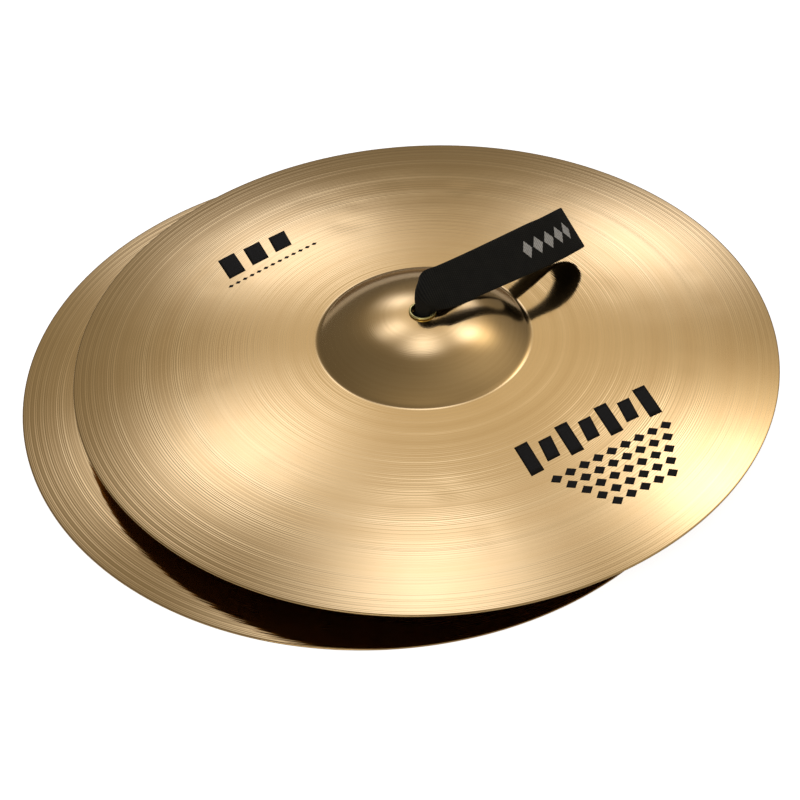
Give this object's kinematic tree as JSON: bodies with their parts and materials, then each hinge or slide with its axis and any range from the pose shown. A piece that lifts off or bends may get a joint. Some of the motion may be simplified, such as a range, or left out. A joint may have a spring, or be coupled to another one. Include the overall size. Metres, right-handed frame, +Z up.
{
  "type": "pair of hand cymbals",
  "caption": "Stacked pair of domed bronze hand cymbals, each with a black nylon webbing hand loop pulled through a brass grommet in the bell.",
  "frame": {"origin": "middle of the pair's footprint, on the surface that the lower cymbal's rim stands on", "axes": "+Z up along the lower cymbal's axis; +X the way the upper cymbal is shifted from the lower one"},
  "size_m": [0.4377, 0.4064, 0.079],
  "materials": {
    "bronze": "lathe-turned, fine concentric grooves, polished bell",
    "brass": "bright",
    "leather": "vegetable-tanned",
    "steel": "zinc-plated",
    "webbing": "black ribbed nylon webbing",
    "thread": "bonded thread"
  },
  "bodies": {
    "lower_cymbal": {"lower_plate": "bronze", "lower_grommet": "brass", "lower_grommet_washer": "brass"},
    "lower_anchor": {"lower_leather_washer": "leather", "lower_retaining_disc": "steel", "lower_cross_pin": "steel", "lower_strap_tails": "webbing", "lower_tail_stitching": "thread"},
    "lower_hand_loop": {"lower_strap_loop": "webbing"},
    "upper_cymbal": {"upper_plate": "bronze", "upper_grommet": "brass", "upper_grommet_washer": "brass"},
    "upper_anchor": {"upper_leather_washer": "leather", "upper_retaining_disc": "steel", "upper_cross_pin": "steel", "upper_strap_tails": "webbing", "upper_tail_stitching": "thread"},
    "upper_hand_loop": {"upper_strap_loop": "webbing"}
  },
  "joints": [
    {"name": "lift", "type": "slide", "parent": "lower_cymbal", "child": "upper_cymbal", "axis": [0, 0, 1], "range_m": [0, 0.2]},
    {"name": "upper_strap_swivel", "type": "hinge", "parent": "upper_cymbal", "child": "upper_anchor", "pos_m": [0.01491, 0.00076, 0.05995], "axis": [-0.0192, 0.0195, 0.9996], "continuous": true},
    {"name": "upper_strap_rise", "type": "hinge", "parent": "upper_anchor", "child": "upper_hand_loop", "pos_m": [0.01491, 0.00076, 0.05995], "axis": [0.6596, -0.7511, 0.0274], "range_deg": [0, 80]},
    {"name": "lower_strap_swivel", "type": "hinge", "parent": "lower_cymbal", "child": "lower_anchor", "pos_m": [-0.01565, 0, 0.03876], "axis": [0, 0, 1], "range_deg": [-5, 5]},
    {"name": "lower_strap_rise", "type": "hinge", "parent": "lower_anchor", "child": "lower_hand_loop", "pos_m": [-0.01565, 0, 0.03876], "axis": [-0.788, -0.6157, 0], "range_deg": [0, 60]}
  ],
  "couplings": [
    {"joint": "lower_strap_rise", "follows": "lift", "rad_per_m": 5}
  ]
}
